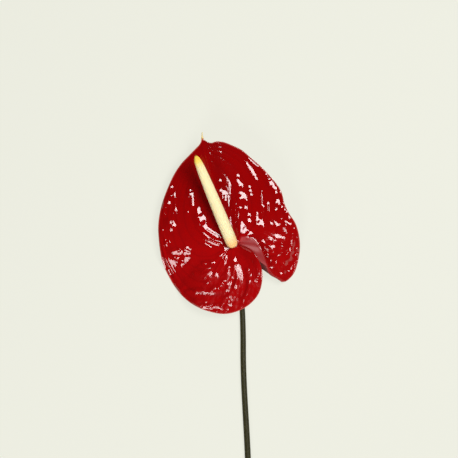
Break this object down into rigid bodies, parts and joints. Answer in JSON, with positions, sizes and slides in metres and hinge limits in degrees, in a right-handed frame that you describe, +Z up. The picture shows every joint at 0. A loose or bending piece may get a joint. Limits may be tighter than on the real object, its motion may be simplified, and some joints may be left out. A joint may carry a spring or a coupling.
{
  "type": "cut anthurium stem",
  "caption": "Cut anthurium lying face up: round green stalk, glossy blistered red heart-shaped spathe with overlapping lobes, and a tapered cream spadix with a yellow tip.",
  "frame": {"origin": "on the surface the flower lies on, under the middle of its bounding box", "axes": "+Y from the cut end of the stalk towards the spathe's tip, +Z up out of the spathe's glossy face, +X to the flower's right as seen from above"},
  "size_m": [0.125, 0.4326, 0.0439],
  "materials": {
    "stem": "satin dark green stalk",
    "spathe": "waxy high gloss, deep red",
    "spadix": "matte cream florets, yellow tip"
  },
  "bodies": {
    "root": {"stem": "stem", "spathe": "spathe", "spadix": "spadix"}
  },
  "joints": []
}
